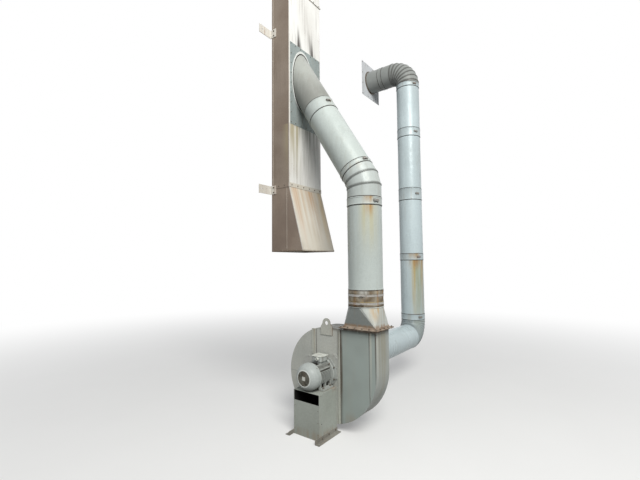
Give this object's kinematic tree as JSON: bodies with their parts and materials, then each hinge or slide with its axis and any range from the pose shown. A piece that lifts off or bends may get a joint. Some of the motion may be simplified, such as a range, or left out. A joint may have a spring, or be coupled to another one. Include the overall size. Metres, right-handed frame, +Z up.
{
  "type": "extraction fan with duct lines and wall stack",
  "caption": "Direct-drive scroll fan on a sheet pedestal, with a round suction line, a clamped discharge duct and a rectangular wall stack.",
  "frame": {"origin": "on the floor, under the middle of the fan's pedestal, on its foot face", "axes": "+Z up, +Y along the shaft from the motor to the inlet, -X towards the wall that the stack hangs on"},
  "size_m": [1.344, 3.027, 5.6],
  "materials": {
    "casing_paint": "weathered grey-green paint, satin",
    "pedestal_paint": "weathered grey paint, satin, dirty at the foot",
    "rail_paint": "worn grey paint with dirt",
    "motor_paint": "light grey machine paint",
    "cowl_paint": "pale blue-grey machine paint, satin",
    "grille_steel": "dark painted wire with a pale hub plate",
    "rust": "rusted steel, matt",
    "zinc": "weathered galvanised sheet, soft sheen",
    "zinc_dull": "dull galvanised band with rust at its edges",
    "sleeve": "stained, rust-streaked sleeve",
    "clamp": "worn zinc-plated clamp",
    "panel_zinc": "blue-grey galvanised panel",
    "stack_paint": "brown-grey coated sheet, chalked near-white at the front",
    "hood_paint": "chalked cream coating with orange rust streaks",
    "bracket_paint": "white paint",
    "plate_white": "pale galvanised wall plate"
  },
  "bodies": {
    "root": {"foot_rails": "rail_paint", "base_sheet": "pedestal_paint", "pedestal_shell": "pedestal_paint", "pedestal_top": "pedestal_paint", "motor_rails": "rail_paint", "motor_frame": "motor_paint", "drive_end_shield": "motor_paint", "fan_cowl": "cowl_paint", "cowl_grille": "grille_steel", "terminal_box": "motor_paint", "terminal_box_lid": "cowl_paint", "cable_gland": "cowl_paint", "casing_motor_plate": "casing_paint", "casing_inlet_plate": "casing_paint", "scroll_wrap": "casing_paint", "motor_cover_plate": "casing_paint", "casing_bars": "casing_paint", "lifting_lug": "casing_paint", "outlet_frame": "rust", "transition_frame": "rust", "transition_hood": "casing_paint", "flexible_sleeve": "sleeve", "sleeve_clamps": "clamp", "riser_duct": "zinc", "riser_clamp": "zinc_dull", "lower_elbow": "zinc", "elbow_clamp": "zinc_dull", "inclined_duct": "zinc", "upper_clamp": "zinc_dull", "entry_piece": "zinc", "blanking_panel": "panel_zinc", "stack_duct": "stack_paint", "stack_top_length": "stack_paint", "stack_hood": "hood_paint", "hood_strap": "stack_paint", "wall_brackets": "bracket_paint", "inlet_collar": "zinc", "inlet_duct": "zinc", "bottom_elbow": "zinc", "suction_riser": "zinc", "suction_clamps": "zinc_dull", "top_elbow": "zinc", "wall_spigot": "zinc", "wall_plate": "plate_white"}
  },
  "joints": []
}
